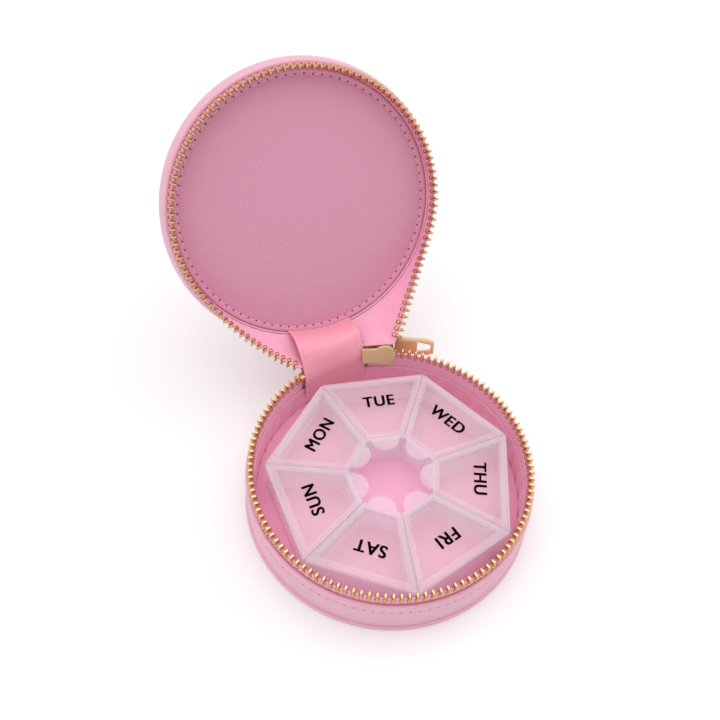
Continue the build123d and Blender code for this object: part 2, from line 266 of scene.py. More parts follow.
@dataclass(frozen=True)
class Woven(Finish):
    """Woven cloth: fine ribs along one direction of the piece's own UV map, which is in millimetres."""

    rib_mm: float = 0.6
    rib_angle: float = 0.0
    sheen: float = 0.2
    light_through: float = 0.0
    through_mm: float = 0.8
    through_tint: Triple = (1.0, 0.6, 0.7)

    def pattern(self, tree: Tree) -> Sockets:
        """Draws ribs a thread apart, a little broken up."""
        wave_period = math.pi / 10
        place = add_node(tree, "ShaderNodeUVMap", uv_map="cloth")
        rotation = {"Rotation": (0.0, 0.0, self.rib_angle)}
        turned = add_node(tree, "ShaderNodeMapping", rotation, {"Vector": place.outputs[0]})
        wave = {"Scale": wave_period / self.rib_mm, "Distortion": 0.6, "Detail": 1.0}
        ribs = add_node(tree, "ShaderNodeTexWave", wave, {"Vector": turned.outputs[0]})
        return ribs.outputs["Fac"], ribs.outputs["Fac"]

    def dress(self, tree: Tree, surface: bpy.types.Node) -> None:
        """Adds the soft sheen of loose fibres, and the light that comes through thin cloth."""
        surface.inputs["Sheen Weight"].default_value = self.sheen
        surface.inputs["Subsurface Weight"].default_value = self.light_through
        surface.inputs["Subsurface Scale"].default_value = self.through_mm * MM
        surface.inputs["Subsurface Radius"].default_value = self.through_tint


@dataclass(frozen=True)
class Gold(Finish):
    """Gold-coloured plating on zinc: metallic, with a faint unevenness in its tone."""

    metal: float = 1.0

    def dress(self, tree: Tree, surface: bpy.types.Node) -> None:
        """Makes it metal, or less so where a lacquer dulls it."""
        surface.inputs["Metallic"].default_value = self.metal


@dataclass(frozen=True)
class Polypropylene(Finish):
    """Moulded polypropylene: milky and see-through, denser where it is seen edge-on."""

    facing_alpha: float = 0.2
    edge_alpha: float = 0.5
    edge_blend: float = 0.35
    ior: float = 1.49

    def dress(self, tree: Tree, surface: bpy.types.Node) -> None:
        """Thins it where it is seen face-on."""
        weight = add_node(tree, "ShaderNodeLayerWeight", {"Blend": self.edge_blend})
        span = {"To Min": self.facing_alpha, "To Max": self.edge_alpha}
        alpha = add_node(tree, "ShaderNodeMapRange", span, {"Value": weight.outputs["Facing"]})
        tree.links.new(alpha.outputs[0], surface.inputs["Alpha"])
        surface.inputs["IOR"].default_value = self.ior


class Finishes:
    """The case's materials, each made once."""

    def __init__(self) -> None:
        """Makes every material."""
        # Coated leather outside: pale pink, a soft satin shine
        self.leather = Leather("pale_pink_leather", "#EDB9CA", "#E6AFC1", 0.5, 0.35).make()
        # Twill-printed leather of the lid's inner panel: fine slanting lines
        self.twill = Woven(
            "twill_leather", "#E3A0BB", "#D690AC", 0.5, 0.4, rib_mm=0.75, rib_angle=math.radians(36)
        ).make()
        # Bright pink zip tape: close ribs
        self.tape = Woven(
            "zip_tape", "#FFB8D2", "#FBAAC8", 0.75, 0.4, rib_mm=0.7, sheen=0.3, light_through=0.4
        ).make()
        # Satin lining: smooth and streaky; its threads are too fine to show, so they are drawn coarser
        self.satin = Woven("satin_strip", "#F9A1B5", "#F59BB0", 0.42, 0.06, rib_mm=0.5, sheen=0.25).make()
        # The same satin, gathered round the walls, painted lighter than the strip to stand in for the light
        # that the shaded inner walls miss; thin, so that light comes through it
        self.lining = Woven(
            "satin_painted_lighter", "#FFB4CB", "#FFAAC4", 0.42, 0.06, rib_mm=0.5, sheen=0.25, light_through=0.4
        ).make()
        # Padded floor fabric: matt and soft, with a faint weave
        self.pad = Woven("pad_fabric", "#F6B4D0", "#F4B1CE", 0.75, 0.12, rib_mm=0.6, sheen=0.3).make()
        # Sewing threads: matt and pale on the seams; the needle holes get dark mauve marks of painted shade
        self.thread = Finish("pink_thread", "#F6BBC7", "#EEADBB", 0.7).make()
        self.painted_hole_shade = Finish("painted_hole_shade_mauve", "#8E5F76", "#7E5068", 0.8).make()
        # Gold teeth, bright; slider and pull, satin
        self.teeth = Gold("gold_plated_teeth", "#DCB98E", "#CBA176", 0.26, 0.1).make()
        self.satin_gold = Gold("satin_gold_plate", "#D6BA92", "#CFB188", 0.45, 0.05, metal=0.85).make()
        self.pale_gold = Gold("pale_gold_plate", "#F0D0A8", "#E8C69C", 0.4, 0.05, metal=0.7).make()
        # Moulded tray and lids: milky, denser seen edge-on, with clearer windows
        self.frosted = Polypropylene(
            "frosted_polypropylene", "#FFFCFF", "#F8F3FA", 0.18, 0.05, facing_alpha=0.15, edge_alpha=0.72
        ).make()
        self.clear = Polypropylene(
            "clear_polypropylene", "#FFFCFF", "#FAF5FA", 0.1, 0.02, facing_alpha=0.05, edge_alpha=0.3
        ).make()
        # Printed lettering: near black, with a slight shine
        self.ink = Finish("black_ink", "#17131A", "#221D26", 0.45).make()
        # Grey board inside the walls: matt and faintly mottled
        self.card = Finish("grey_board", "#A9A29A", "#9C958D", 0.9).make()


def deselect() -> None:
    """Leaves edit mode and selects nothing."""
    if bpy.context.object and bpy.context.object.mode != "OBJECT":
        bpy.ops.object.mode_set(mode="OBJECT")
    bpy.ops.object.select_all(action="DESELECT")


def choose(piece: Piece) -> None:
    """Makes one piece the only selected and active one."""
    deselect()
    piece.select_set(True)
    bpy.context.view_layer.objects.active = piece


def smooth(piece: Piece, angle: float) -> None:
    """Shades a piece smooth, apart from edges sharper than an angle in degrees."""
    choose(piece)
    bpy.ops.object.shade_smooth_by_angle(angle=math.radians(angle))


def edit(piece: Piece) -> None:
    """Puts one piece in edit mode with all of it selected."""
    choose(piece)
    bpy.ops.object.mode_set(mode="EDIT")
    bpy.ops.mesh.select_all(action="SELECT")


def close_up(piece: Piece, angle: float = 40.0, merge: bool = True, fill: bool = False) -> None:
    """Finishes a piece in edit mode: faces point outwards, and it is shaded smooth.

    Args:
        piece: The piece, in edit mode.
        angle: Edges sharper than this, in degrees, stay sharp.
        merge: True merges its doubles first.
        fill: True closes its open ends.
    """
    bpy.ops.mesh.select_all(action="SELECT")
    if merge:
        bpy.ops.mesh.remove_doubles(threshold=MERGE)
    if fill:
        bpy.ops.mesh.fill_holes(sides=0)
    bpy.ops.mesh.normals_make_consistent(inside=False)
    bpy.ops.object.mode_set(mode="OBJECT")
    smooth(piece, angle)


def link_new(name: str, data: bpy.types.ID) -> Piece:
    """Makes an object of its data and links it to the scene.

    Args:
        name: The object's name.
        data: Its mesh, camera or light.

    Returns:
        The new object.
    """
    made = bpy.data.objects.new(name, data)
    bpy.context.scene.collection.objects.link(made)
    return made


def apply_modifier(piece: Piece, kind: str, **settings: object) -> None:
    """Adds a modifier with its settings and applies it.

    Args:
        piece: The piece to change.
        kind: The modifier's type name.
        settings: Its properties.
    """
    choose(piece)
    modifier = piece.modifiers.new(kind.lower(), kind)
    for key, value in settings.items():
        setattr(modifier, key, value)
    bpy.ops.object.modifier_apply(modifier=modifier.name)


def lay_cloth_map(
    piece: Piece, place: Callable[[Vector], tuple[float, float]], wrap: float = 0.0
) -> None:
    """Gives a piece a UV map in millimetres of its own surface.

    Args:
        piece: The piece to map.
        place: Gives a point's two lengths along the cloth, from its place in millimetres.
        wrap: Length after which the first one starts again round a ring, or 0.
    """
    mesh = piece.data
    layer = mesh.uv_layers.get("cloth") or mesh.uv_layers.new(name="cloth")
    for polygon in mesh.polygons:
        first = None
        for loop in polygon.loop_indices:
            along, across = place(mesh.vertices[mesh.loops[loop].vertex_index].co / MM)
            if wrap and first is not None:
                along += wrap * round((first - along) / wrap)
            first = along if first is None else first
            layer.data[loop].uv = (along, across)


def ring_map(piece: Piece, radius: float) -> None:
    """Maps a ring by its length round the middle and its height."""
    lay_cloth_map(piece, lambda p: (math.atan2(p.y, p.x) * radius, p.z), math.tau * radius)


def lathe(
    name: str, outline: Outline, steps: int = 180, start: float = 0.0, sweep: float = math.tau
) -> Piece:
    """Spins a closed outline about the upright axis.

    Args:
        name: The piece's name.
        outline: Radius and height of each corner, in millimetres.
        steps: Steps round the sweep.
        start: Angle of the first end.
        sweep: Angle swept; less than a full turn leaves closed ends.

    Returns:
        The new piece.
    """
    deselect()
    bpy.ops.mesh.primitive_plane_add(size=MM)
    piece = bpy.context.object
    piece.name = name
    edit(piece)
    bpy.ops.mesh.merge(type="CENTER")
    turn = Matrix.Rotation(start, 3, "Z")
    corners = [turn @ Vector((radius, 0, height)) * MM for radius, height in outline]
    bpy.ops.transform.translate(value=corners[0])
    for here, there in zip(corners, corners[1:]):
        bpy.ops.mesh.extrude_region_move(TRANSFORM_OT_translate={"value": there - here})
    shape = bmesh.from_edit_mesh(piece.data)
    shape.verts.ensure_lookup_table()
    shape.edges.new((shape.verts[len(corners) - 1], shape.verts[0]))
    bmesh.update_edit_mesh(piece.data)
    bpy.ops.mesh.select_all(action="SELECT")
    bpy.ops.mesh.spin(steps=steps, angle=-sweep, center=(0, 0, 0), axis=(0, 0, 1))
    close_up(piece, fill=sweep < math.tau)
    return piece


def rounded_block(name: str, size: Triple, edge: float) -> bpy.types.Mesh:
    """Models one small block with bevelled edges.

    Args:
        name: The mesh's name.
        size: Its sides in millimetres.
        edge: Bevel of its edges.

    Returns:
        The mesh, centred on the origin's foot, with its object removed.
    """
    deselect()
    bpy.ops.mesh.primitive_cube_add(size=1)
    block = bpy.context.object
    block.name = name
    edit(block)
    bpy.ops.transform.resize(value=[side * MM for side in size])
    bpy.ops.transform.translate(value=(0, 0, size[2] * MM / 2))
    bpy.ops.mesh.bevel(offset=edge * MM, segments=1, affect="EDGES", clamp_overlap=True)
    close_up(block, 75.0)
    mesh = block.data
    bpy.data.objects.remove(block)
    return mesh


def repeat(name: str, single: bpy.types.Mesh, places: list[Matrix]) -> Piece:
    """Copies one small mesh to many places as one piece.

    Args:
        name: The piece's name.
        single: The mesh that is copied.
        places: Where each copy goes, in metres.

    Returns:
        The new piece, with a mesh of its own.
    """
    gathered = bmesh.new()
    for place in places:
        copy = single.copy()
        copy.transform(place)
        gathered.from_mesh(copy)
        bpy.data.meshes.remove(copy)
    mesh = bpy.data.meshes.new(name)
    gathered.to_mesh(mesh)
    gathered.free()
    return link_new(name, mesh)


def cloth_grid(
    name: str,
    place: Callable[[float, float], Vector],
    flat: tuple[float, float],
    counts: tuple[int, int],
    thickness: float,
) -> Piece:
    """Lays a grid of cloth over a surface and gives it thickness.

    Args:
        name: The piece's name.
        place: The surface point in millimetres for two shares from 0 to 1.
        flat: The cloth's width and length in millimetres, for its UV map.
        counts: Faces across and along.
        thickness: The cloth's thickness.

    Returns:
        The new piece.
    """
    deselect()
    bpy.ops.mesh.primitive_grid_add(x_subdivisions=counts[0], y_subdivisions=counts[1], size=1)
    piece = bpy.context.object
    piece.name = name
    layer = piece.data.uv_layers[0]
    layer.name = "cloth"
    for entry in layer.data:
        entry.uv = (entry.uv[0] * flat[0], entry.uv[1] * flat[1])
    for vertex in piece.data.vertices:
        vertex.co = place(vertex.co.x + 0.5, vertex.co.y + 0.5) * MM
    apply_modifier(piece, "SOLIDIFY", thickness=thickness * MM, offset=0.0)
    edit(piece)
    close_up(piece, 60.0, merge=False)
    return piece


def softened(node: str, name: str, edge: float, segments: int = 2) -> Piece:
    """Copies a moulded or cast node and rounds its edges.

    Args:
        node: The CAD node to stand for.
        name: The new piece's name.
        edge: Width of the rounding in millimetres.
        segments: Steps of the rounding.

    Returns:
        The rounded copy, which replaces the node.
    """
    level_angle, sharp_angle = math.radians(1), math.radians(35)
    piece = link_new(name, frame["nodes"][node].data.copy())
    piece.data.materials.clear()
    edit(piece)
    bpy.ops.mesh.remove_doubles(threshold=MERGE)
    bpy.ops.mesh.dissolve_limited(angle_limit=level_angle)
    bpy.ops.object.mode_set(mode="OBJECT")
    limit = {"limit_method": "ANGLE", "angle_limit": sharp_angle, "use_clamp_overlap": True}
    apply_modifier(piece, "BEVEL", width=edge * MM, segments=segments, **limit)
    smooth(piece, 30.0)
    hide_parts(node)
    return piece


def settle(
    piece: Piece, body: str, slot: Slot | None, *materials: bpy.types.Material, node: str = ""
) -> Piece:
    """Gives a piece its node, its materials and the body it rides on, and reports it.

    Args:
        piece: The finished piece.
        body: The body it rides on, or an empty string for a piece across the hinge, which is left where it
            is drawn.
        slot: The record's slot, or none for print; not used.
        materials: Its materials, in slot order.
        node: The CAD node it replaces, or an empty string.

    Returns:
        The same piece.
    """
    if node:
        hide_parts(node)
    for material in materials:
        piece.data.materials.append(material)
    if body:
        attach(piece, body)
    else:
        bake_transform(piece)
    LOG.info("%s: %d faces", piece.name, len(piece.data.polygons))
    return piece


def open_lid(piece: Piece) -> Piece:
    """Turns a lid piece, drawn shut, to where the lid stands open."""
    piece.data.transform(LAYOUT.opening())
    return piece


def sew_ring(
    name: str, radius: float, height: float, stitches: int, upright: bool
) -> tuple[Piece, Piece]:
    """Sews a ring of stitches with a needle hole between each two.

    Args:
        name: Start of the pieces' names.
        radius: The ring's radius in millimetres.
        height: The ring's height.
        stitches: Count of stitches.
        upright: True on a side wall, false on a flat face.

    Returns:
        The threads and the holes.
    """
    thread_size, hole_size = ((0.22, 0.42), (0.24, 0.55)) if upright else ((0.42, 0.3), (0.7, 0.32))
    thread_share, hole_length, edge, sink = 0.7, 0.55, 0.1, 0.03
    step = math.tau / stitches
    thread = rounded_block("thread", (thread_size[0], thread_share * step * radius, thread_size[1]), edge)
    # Each needle hole is a small dark block that stands for the shade inside the hole: painted shade
    hole = rounded_block("needle_hole", (hole_size[0], hole_length, hole_size[1]), edge)
    threads = [around(radius, height, step * place) for place in range(stitches)]
    holes = [around(radius, height - sink, step * (place + 0.5)) for place in range(stitches)]
    return repeat(f"{name}_stitches", thread, threads), repeat(f"{name}_needle_holes", hole, holes)


def around(radius: float, height: float, angle: float, tilt: float = 0.0) -> Matrix:
    """A place on a ring, facing outwards.

    Args:
        radius: The ring's radius in millimetres.
        height: The ring's height.
        angle: The place round the ring.
        tilt: A turn about the ring's own line.

    Returns:
        The place in metres, X outwards, Y along the ring and Z up.
    """
    spot = Matrix.Rotation(angle, 4, "Z") @ Matrix.Translation((radius * MM, 0, height * MM))
    return spot @ Matrix.Rotation(tilt, 4, "Y")


@dataclass
class Zip:
    """Teeth and tapes of the zip: round rows, straight ends, and the metal parts."""

    finishes: Finishes
    pitch_angle: float = math.radians(3.0)
    base_first: float = math.radians(112.375)
    base_count: int = 108
    lid_first: float = math.radians(155.875)
    lid_count: int = 78
    tooth_levels: tuple[Triple, ...] = (
        (0.0, 1.9, 1.5), (0.25, 2.3, 1.8), (1.35, 2.3, 1.8), (1.55, 2.1, 1.2), (2.1, 2.7, 1.3),
        (3.4, 2.6, 1.3), (4.0, 1.7, 0.75),
    )
    tooth_low: float = 2.9
    tape_half: float = 0.28
    base_tape: tuple[float, float] = (-11.5, -1.2)
    lid_tape: tuple[float, float] = (1.2, 6.0)
    row_stop: float = math.radians(62.0)
    left_end: float = math.radians(19.5)
    right_end: float = math.radians(13.5)
    left_web_end: float = math.radians(17.0)
    right_web_end: float = math.radians(9.0)
    end_pitch: float = 2.618
    web_top: float = 5.6
    left_row_end: Triple = (-16.69, 47.13, 25.7)
    left_web_foot: Triple = (-14.6, 48.6, 24.0)
    slider_mouth: Triple = (21.71, 45.58, 25.51)
    slider_tail: Triple = (8.2, 50.6, 23.5)
    web_thickness: float = 0.5
    stop_edge: float = 0.3
    slider_edge: float = 0.2
    pull_edge: float = 0.22

    def single(self) -> bpy.types.Mesh:
        """Models one tooth, pointing up: legs that clamp the tape, a neck and a rounded head.

        Returns:
            The mesh, with its foot at the origin and its object removed.
        """
        deselect()
        bpy.ops.mesh.primitive_circle_add(
            vertices=8, radius=MM / 2, fill_type="NGON", rotation=(0, 0, math.pi / 8)
        )
        tooth = bpy.context.object
        bpy.ops.object.transform_apply(location=False, rotation=True, scale=False)
        edit(tooth)
        low, depth, width = self.tooth_levels[0]
        bpy.ops.transform.resize(value=(depth, width, 1))
        for high, deep, wide in self.tooth_levels[1:]:
            bpy.ops.mesh.extrude_region_move(TRANSFORM_OT_translate={"value": (0, 0, (high - low) * MM)})
            bpy.ops.transform.resize(value=(deep / depth, wide / width, 1))
            low, depth, width = high, deep, wide
        close_up(tooth, 50.0, merge=False)
        mesh = tooth.data
        bpy.data.objects.remove(tooth)
        return mesh

    def build(self) -> None:
        """Builds and dresses the whole zip."""
        tooth = self.single()
        closing, radius = LAYOUT.closing, LAYOUT.row_radius
        angles = [self.base_first + step * self.pitch_angle for step in range(self.base_count)]
        base_row = repeat("base_teeth", tooth, [around(radius, closing - self.tooth_low, a) for a in angles])
        settle(base_row, Body.BASE.value, Slot.GOLD, self.finishes.teeth, node="base_zip_teeth")
        angles = [self.lid_first + step * self.pitch_angle for step in range(self.lid_count)]
        places = [around(radius, closing + self.tooth_low, a, math.pi) for a in angles]
        lid_row = open_lid(repeat("lid_teeth", tooth, places))
        settle(lid_row, Body.LID.value, Slot.GOLD, self.finishes.teeth, node="lid_zip_teeth")
        self.round_tape(Body.BASE)
        self.round_tape(Body.LID)
        self.straight_ends(tooth)
        stop = softened("zip_top_stop", "closing_end_stop", self.stop_edge)
        settle(stop, Body.BASE.value, Slot.GOLD, self.finishes.teeth)
        slider = softened("zip_slider", "slider_body", self.slider_edge)
        settle(slider, Body.SLIDER.value, Slot.PLATE, self.finishes.satin_gold)
        pull = softened("zip_pull", "slider_pull", self.pull_edge)
        settle(pull, Body.PULL.value, Slot.PLATE, self.finishes.pale_gold)

    def round_tape(self, body: Body) -> None:
        """Builds one round tape, open beside the hinge.

        Args:
            body: The base or the lid.
        """
        on_base = body is Body.BASE
        side = "base" if on_base else "lid"
        low, high = self.base_tape if on_base else self.lid_tape
        left, right = (self.left_end, self.right_end) if on_base else (self.row_stop, self.row_stop)
        closing, radius = LAYOUT.closing, LAYOUT.row_radius
        inner, outer = radius - self.tape_half, radius + self.tape_half
        steps = 6
        rises = [closing + low + (high - low) * step / steps for step in range(steps + 1)]
        outline = [(inner, rise) for rise in rises] + [(outer, rise) for rise in reversed(rises)]
        sweep = math.tau - left - right
        tape = lathe(f"{side}_tape", outline, steps=200, start=math.pi / 2 + left, sweep=sweep)
        ring_map(tape, radius)
        if not on_base:
            open_lid(tape)
        settle(tape, body.value, Slot.TAPE, self.finishes.tape, node=f"{side}_zip_tape")

    def straight_ends(self, tooth: bpy.types.Mesh) -> None:
        """Builds the two straight ends, their webs of tape and their teeth.

        Args:
            tooth: The single tooth.
        """
        left = StraightEnd(
            self, -1.0, self.left_web_end, self.left_row_end, self.left_web_foot, bow=2.5, first=-0.7
        )
        right = StraightEnd(self, 1.0, self.right_web_end, self.slider_mouth, self.slider_tail, first=1.6)
        for name, straight in (("left_end_web", left), ("right_end_web", right)):
            piece = cloth_grid(name, straight.web, straight.flat(), (12, 40), self.web_thickness)
            node = "lid_zip_end_tapes" if straight is left else ""
            settle(piece, "", Slot.TAPE, self.finishes.tape, node=node)
            flat = [side * MM for side in straight.flat()]
        teeth = repeat("straight_end_teeth", tooth, left.tooth_places() + right.tooth_places())
        settle(teeth, "", Slot.GOLD, self.finishes.teeth, node="lid_zip_end_teeth")


@dataclass
class StraightEnd:
    """One end of the lid's zip, which runs straight from the lid's row down to the base."""

    zip: Zip
    side: float
    web_end: float
    row_end: Triple
    web_foot: Triple
    row_share: float = 0.78
    bow: float = 0.0
    first: float = 0.0

    def lid_spot(self, radius: float, angle: float, rise: float) -> Vector:
        """A point of the open lid on this side, at an angle from the hinge."""
        return LAYOUT.lid_point(self.side * radius * math.sin(angle), radius * math.cos(angle), rise)

    def wall(self, share: float) -> Vector:
        """A point of the lid's wall, from the end of the round row towards the hinge."""
        angle = self.zip.row_stop + (self.web_end - self.zip.row_stop) * share
        return self.lid_spot(LAYOUT.row_radius, angle, self.zip.web_top)

    def lid_end(self) -> Vector:
        """The point where the round row of the lid stops."""
        return self.lid_spot(LAYOUT.row_radius, self.zip.row_stop, 0)

    def row(self, share: float) -> Vector:
        """A point of the web's free edge: along the teeth, then on to the hinge."""
        if share < self.row_share:
            along = share / self.row_share
            line = Vector(self.row_end) - self.lid_end()
            beyond = self.lid_spot(LAYOUT.row_radius + 1, self.zip.row_stop, 0)
            outward = (beyond - self.lid_end()).project(line) * -1 + (beyond - self.lid_end())
            return self.lid_end() + line * along + outward * self.bow * 4 * along * (1 - along)
        rest = (share - self.row_share) / (1 - self.row_share)
        return Vector(self.row_end).lerp(Vector(self.web_foot), rest)

    def web(self, across: float, along: float) -> Vector:
        """A point of the web of tape between the teeth and the lid's wall."""
        row, wall = self.row(along), self.wall(along)
        return (row + (wall - row).normalized()).lerp(wall, across)

    def flat(self) -> tuple[float, float]:
        """The web's width at its foot, and its row's length over that row's share, in millimetres."""
        length = (Vector(self.row_end) - self.lid_end()).length
        return (self.wall(1.0) - self.row(1.0)).length, length / self.row_share

    def tooth_places(self) -> list[Matrix]:
        """Places of the teeth, one pitch apart, with their heads away from the tape."""
        run = Vector(self.row_end) - self.lid_end()
        count = round((run.length - self.first) / self.zip.end_pitch)
        small = 0.001
        places = []
        for step in range(count):
            share = (self.first + step * self.zip.end_pitch) / run.length * self.row_share
            along = (self.row(share + small) - self.row(share - small)).normalized()
            deep = along.cross(self.row(share) - self.wall(share)).normalized()
            head = deep.cross(along)
            turn = Matrix((deep, along, head)).transposed().to_4x4()
            places.append(Matrix.Translation((self.row(share) - head * self.zip.tooth_low) * MM) @ turn)
        return places


@dataclass
class Shell:
    """Leather, lining and boards of the base and the lid."""

    finishes: Finishes
    band_inner: float = 50.32
    band_outer: float = 52.0
    lip: float = 52.8
    base_edge: float = -5.0
    base_seam: float = -8.7
    lid_edge: float = 4.0
    lid_seam: float = 8.75
    lid_top: float = 10.0
    lining_outer: float = 49.62
    lining_inner: float = 49.2
    base_hem: float = -9.0
    lid_hem: float = 5.5
    pleat_depth: float = 0.6
    pleats: int = 46
    base_stitches: int = 104

    def build(self) -> None:
        """Builds and dresses the walls, bottom and top."""
        self.base_leather()
        self.lid_leather()
        self.base_lining()
        self.lid_lining()
        for node in ("base_bottom_board", "base_wall_board", "lid_top_board", "lid_wall_board"):
            board = frame["nodes"][node]
            board.data.materials.clear()
            board.data.materials.append(self.finishes.card)

    def base_leather(self) -> None:
        """Builds the base's side wall with its rolled edge and stitched seam, and its lipped bottom."""
        edge = LAYOUT.closing + self.base_edge
        seam = LAYOUT.closing + self.base_seam
        inner, outer = self.band_inner, self.band_outer
        outline = [
            (outer - 0.3, 1.25), (outer - 0.05, 1.9), (outer + 0.05, 5.0), (outer + 0.12, 9.0),
            (outer + 0.1, seam - 0.9), (outer - 0.02, seam - 0.4), (outer - 0.14, seam),
            (outer - 0.02, seam + 0.4), (outer + 0.1, seam + 0.9), (outer + 0.06, edge - 0.9),
            (outer - 0.15, edge - 0.25), (outer - 0.6, edge + 0.08), (inner + 0.5, edge),
            (inner + 0.15, edge - 0.3), (inner, edge - 0.9), (inner, 1.25),
        ]
        side = lathe("base_side_leather", outline)
        settle(side, Body.BASE.value, Slot.LEATHER, self.finishes.leather, node="base_outer_band")
        lip = self.lip
        outline = [
            (0, 0), (lip - 1.2, 0), (lip - 0.4, 0.12), (lip - 0.05, 0.45), (lip, 0.7), (lip - 0.2, 1.05),
            (lip - 0.7, 1.2), (0, 1.2),
        ]
        bottom = lathe("base_bottom_leather", outline)
        settle(bottom, Body.BASE.value, Slot.LEATHER, self.finishes.leather, node="base_bottom_panel")
        threads, holes = sew_ring("base_seam", outer - 0.1, seam - 0.22, self.base_stitches, True)
        settle(threads, Body.BASE.value, Slot.LEATHER, self.finishes.thread)
        # The needle holes are dark marks of painted shade
        settle(holes, Body.BASE.value, Slot.LEATHER, self.finishes.painted_hole_shade)

    def lid_leather(self) -> None:
        """Builds the lid's side wall and its rounded top."""
        closing = LAYOUT.closing
        edge, seam, top = closing + self.lid_edge, closing + self.lid_seam, closing + self.lid_top
        inner, outer = self.band_inner, self.band_outer
        outline = [
            (outer + 0.75, seam), (outer + 0.7, seam - 1.0), (outer + 0.35, edge + 1.4),
            (outer + 0.1, edge + 0.8), (outer - 0.15, edge + 0.3), (outer - 0.6, edge),
            (inner + 0.5, edge + 0.06), (inner + 0.15, edge + 0.35), (inner, edge + 0.9), (inner, seam),
        ]
        side = lathe("lid_side_leather", outline)
        settle(open_lid(side), Body.LID.value, Slot.LEATHER, self.finishes.leather, node="lid_outer_band")
        outline = [
            (0, seam + 0.05), (inner, seam + 0.05), (outer + 0.75, seam + 0.02),
            (outer + 0.85, seam + 0.35), (outer + 0.65, seam + 0.75), (outer + 0.1, top - 0.15),
            (outer - 1.0, top), (40.0, top + 0.1), (0, top + 0.15),
        ]
        cover = lathe("lid_top_leather", outline)
        settle(open_lid(cover), Body.LID.value, Slot.LEATHER, self.finishes.leather, node="lid_top_panel")

    def base_lining(self) -> None:
        """Builds the base's gathered satin lining with its hem."""
        inner, outer = self.lining_inner, self.lining_outer
        hem = LAYOUT.closing + self.base_hem
        rises = [1.3, 3.0, 5.0, 7.0, 9.0, 11.0, hem - 0.7]
        outline = [(inner, rise) for rise in rises]
        outline += [(inner - 0.12, hem - 0.35), (inner, hem), (outer, hem)]
        outline += [(outer, rise) for rise in reversed(rises)]
        lining = lathe("base_satin_lining", outline, 360)
        middle = (inner + outer) / 2
        for vertex in lining.data.vertices:
            point = vertex.co / MM
            reach = math.hypot(point.x, point.y)
            if reach > middle:
                continue
            turn = math.atan2(point.y, point.x)
            swell = 0.5 + 0.5 * math.sin(self.pleats * turn + 2.0 * math.sin(5 * turn) + 0.12 * point.z)
            hang = math.sin(math.pi * min(1.0, max(0.0, (hem - point.z) / hem))) ** 0.6
            pull = 1 - self.pleat_depth * swell * hang / reach
            vertex.co.x *= pull
            vertex.co.y *= pull
        ring_map(lining, inner)
        # The lining's satin is painted lighter than the strip's, standing in for light on the shaded inner
        # walls
        settle(lining, Body.BASE.value, Slot.SATIN, self.finishes.lining, node="base_wall_lining")

    def lid_lining(self) -> None:
        """Builds the lid's narrow satin lining."""
        inner, outer = self.lining_inner, self.lining_outer
        low, high = LAYOUT.closing + self.lid_hem, LAYOUT.closing + self.lid_seam
        outline = [
            (inner, high), (inner - 0.05, (low + high) / 2), (inner - 0.1, low + 0.35), (inner, low),
            (outer, low), (outer, high),
        ]
        lining = lathe("lid_satin_lining", outline)
        ring_map(lining, inner)
        open_lid(lining)
        # The lining's satin is painted lighter than the strip's, standing in for light on the shaded inner
        # walls
        settle(lining, Body.LID.value, Slot.SATIN, self.finishes.lining, node="lid_wall_lining")


@dataclass
class Padding:
    """The base's padded floor and the lid's stitched inner panel."""

    finishes: Finishes
    pad_radius: float = 49.0
    pad_low: float = 2.2
    pad_top: float = 3.2
    panel_radius: float = 49.05
    panel_low: float = 6.4
    panel_high: float = 7.9
    stitch_radius: float = 46.9
    stitches: int = 88

    def build(self) -> None:
        """Builds and dresses both."""
        radius, low, top = self.pad_radius, self.pad_low, self.pad_top
        outline = [
            (0, low), (radius - 0.3, low), (radius - 0.05, low + 0.2), (radius, low + 0.5),
            (radius - 0.15, top - 0.15), (radius - 0.5, top), (30.0, top), (0, top),
        ]
        pad = lathe("base_floor_padding", outline)
        lay_cloth_map(pad, lambda p: (p.x, p.y))
        settle(pad, Body.BASE.value, Slot.PAD, self.finishes.pad, node="base_floor_pad")
        self.panel()

    def panel(self) -> None:
        """Builds the lid's inner panel, with its stitched border."""
        rim, ring = self.panel_radius, self.stitch_radius
        face, back = LAYOUT.closing + self.panel_low, LAYOUT.closing + self.panel_high
        outline = [
            (0, face - 0.2), (30.0, face - 0.2), (ring - 1.4, face - 0.12), (ring - 0.5, face + 0.05),
            (ring, face + 0.16), (ring + 0.4, face), (ring + 0.9, face - 0.25), (ring + 1.5, face - 0.3),
            (rim - 0.25, face - 0.1), (rim, face + 0.4), (rim, back - 0.5), (rim - 0.4, back), (0, back),
        ]
        panel = lathe("lid_twill_panel", outline)
        lay_cloth_map(panel, lambda p: (p.x, p.y))
        settle(open_lid(panel), Body.LID.value, Slot.TWILL, self.finishes.twill, node="lid_inner_panel")
        threads, holes = sew_ring("panel", ring, face - 0.05, self.stitches, False)
        settle(open_lid(threads), Body.LID.value, Slot.TWILL, self.finishes.thread)
        # The needle holes are dark marks of painted shade
        settle(open_lid(holes), Body.LID.value, Slot.TWILL, self.finishes.painted_hole_shade)


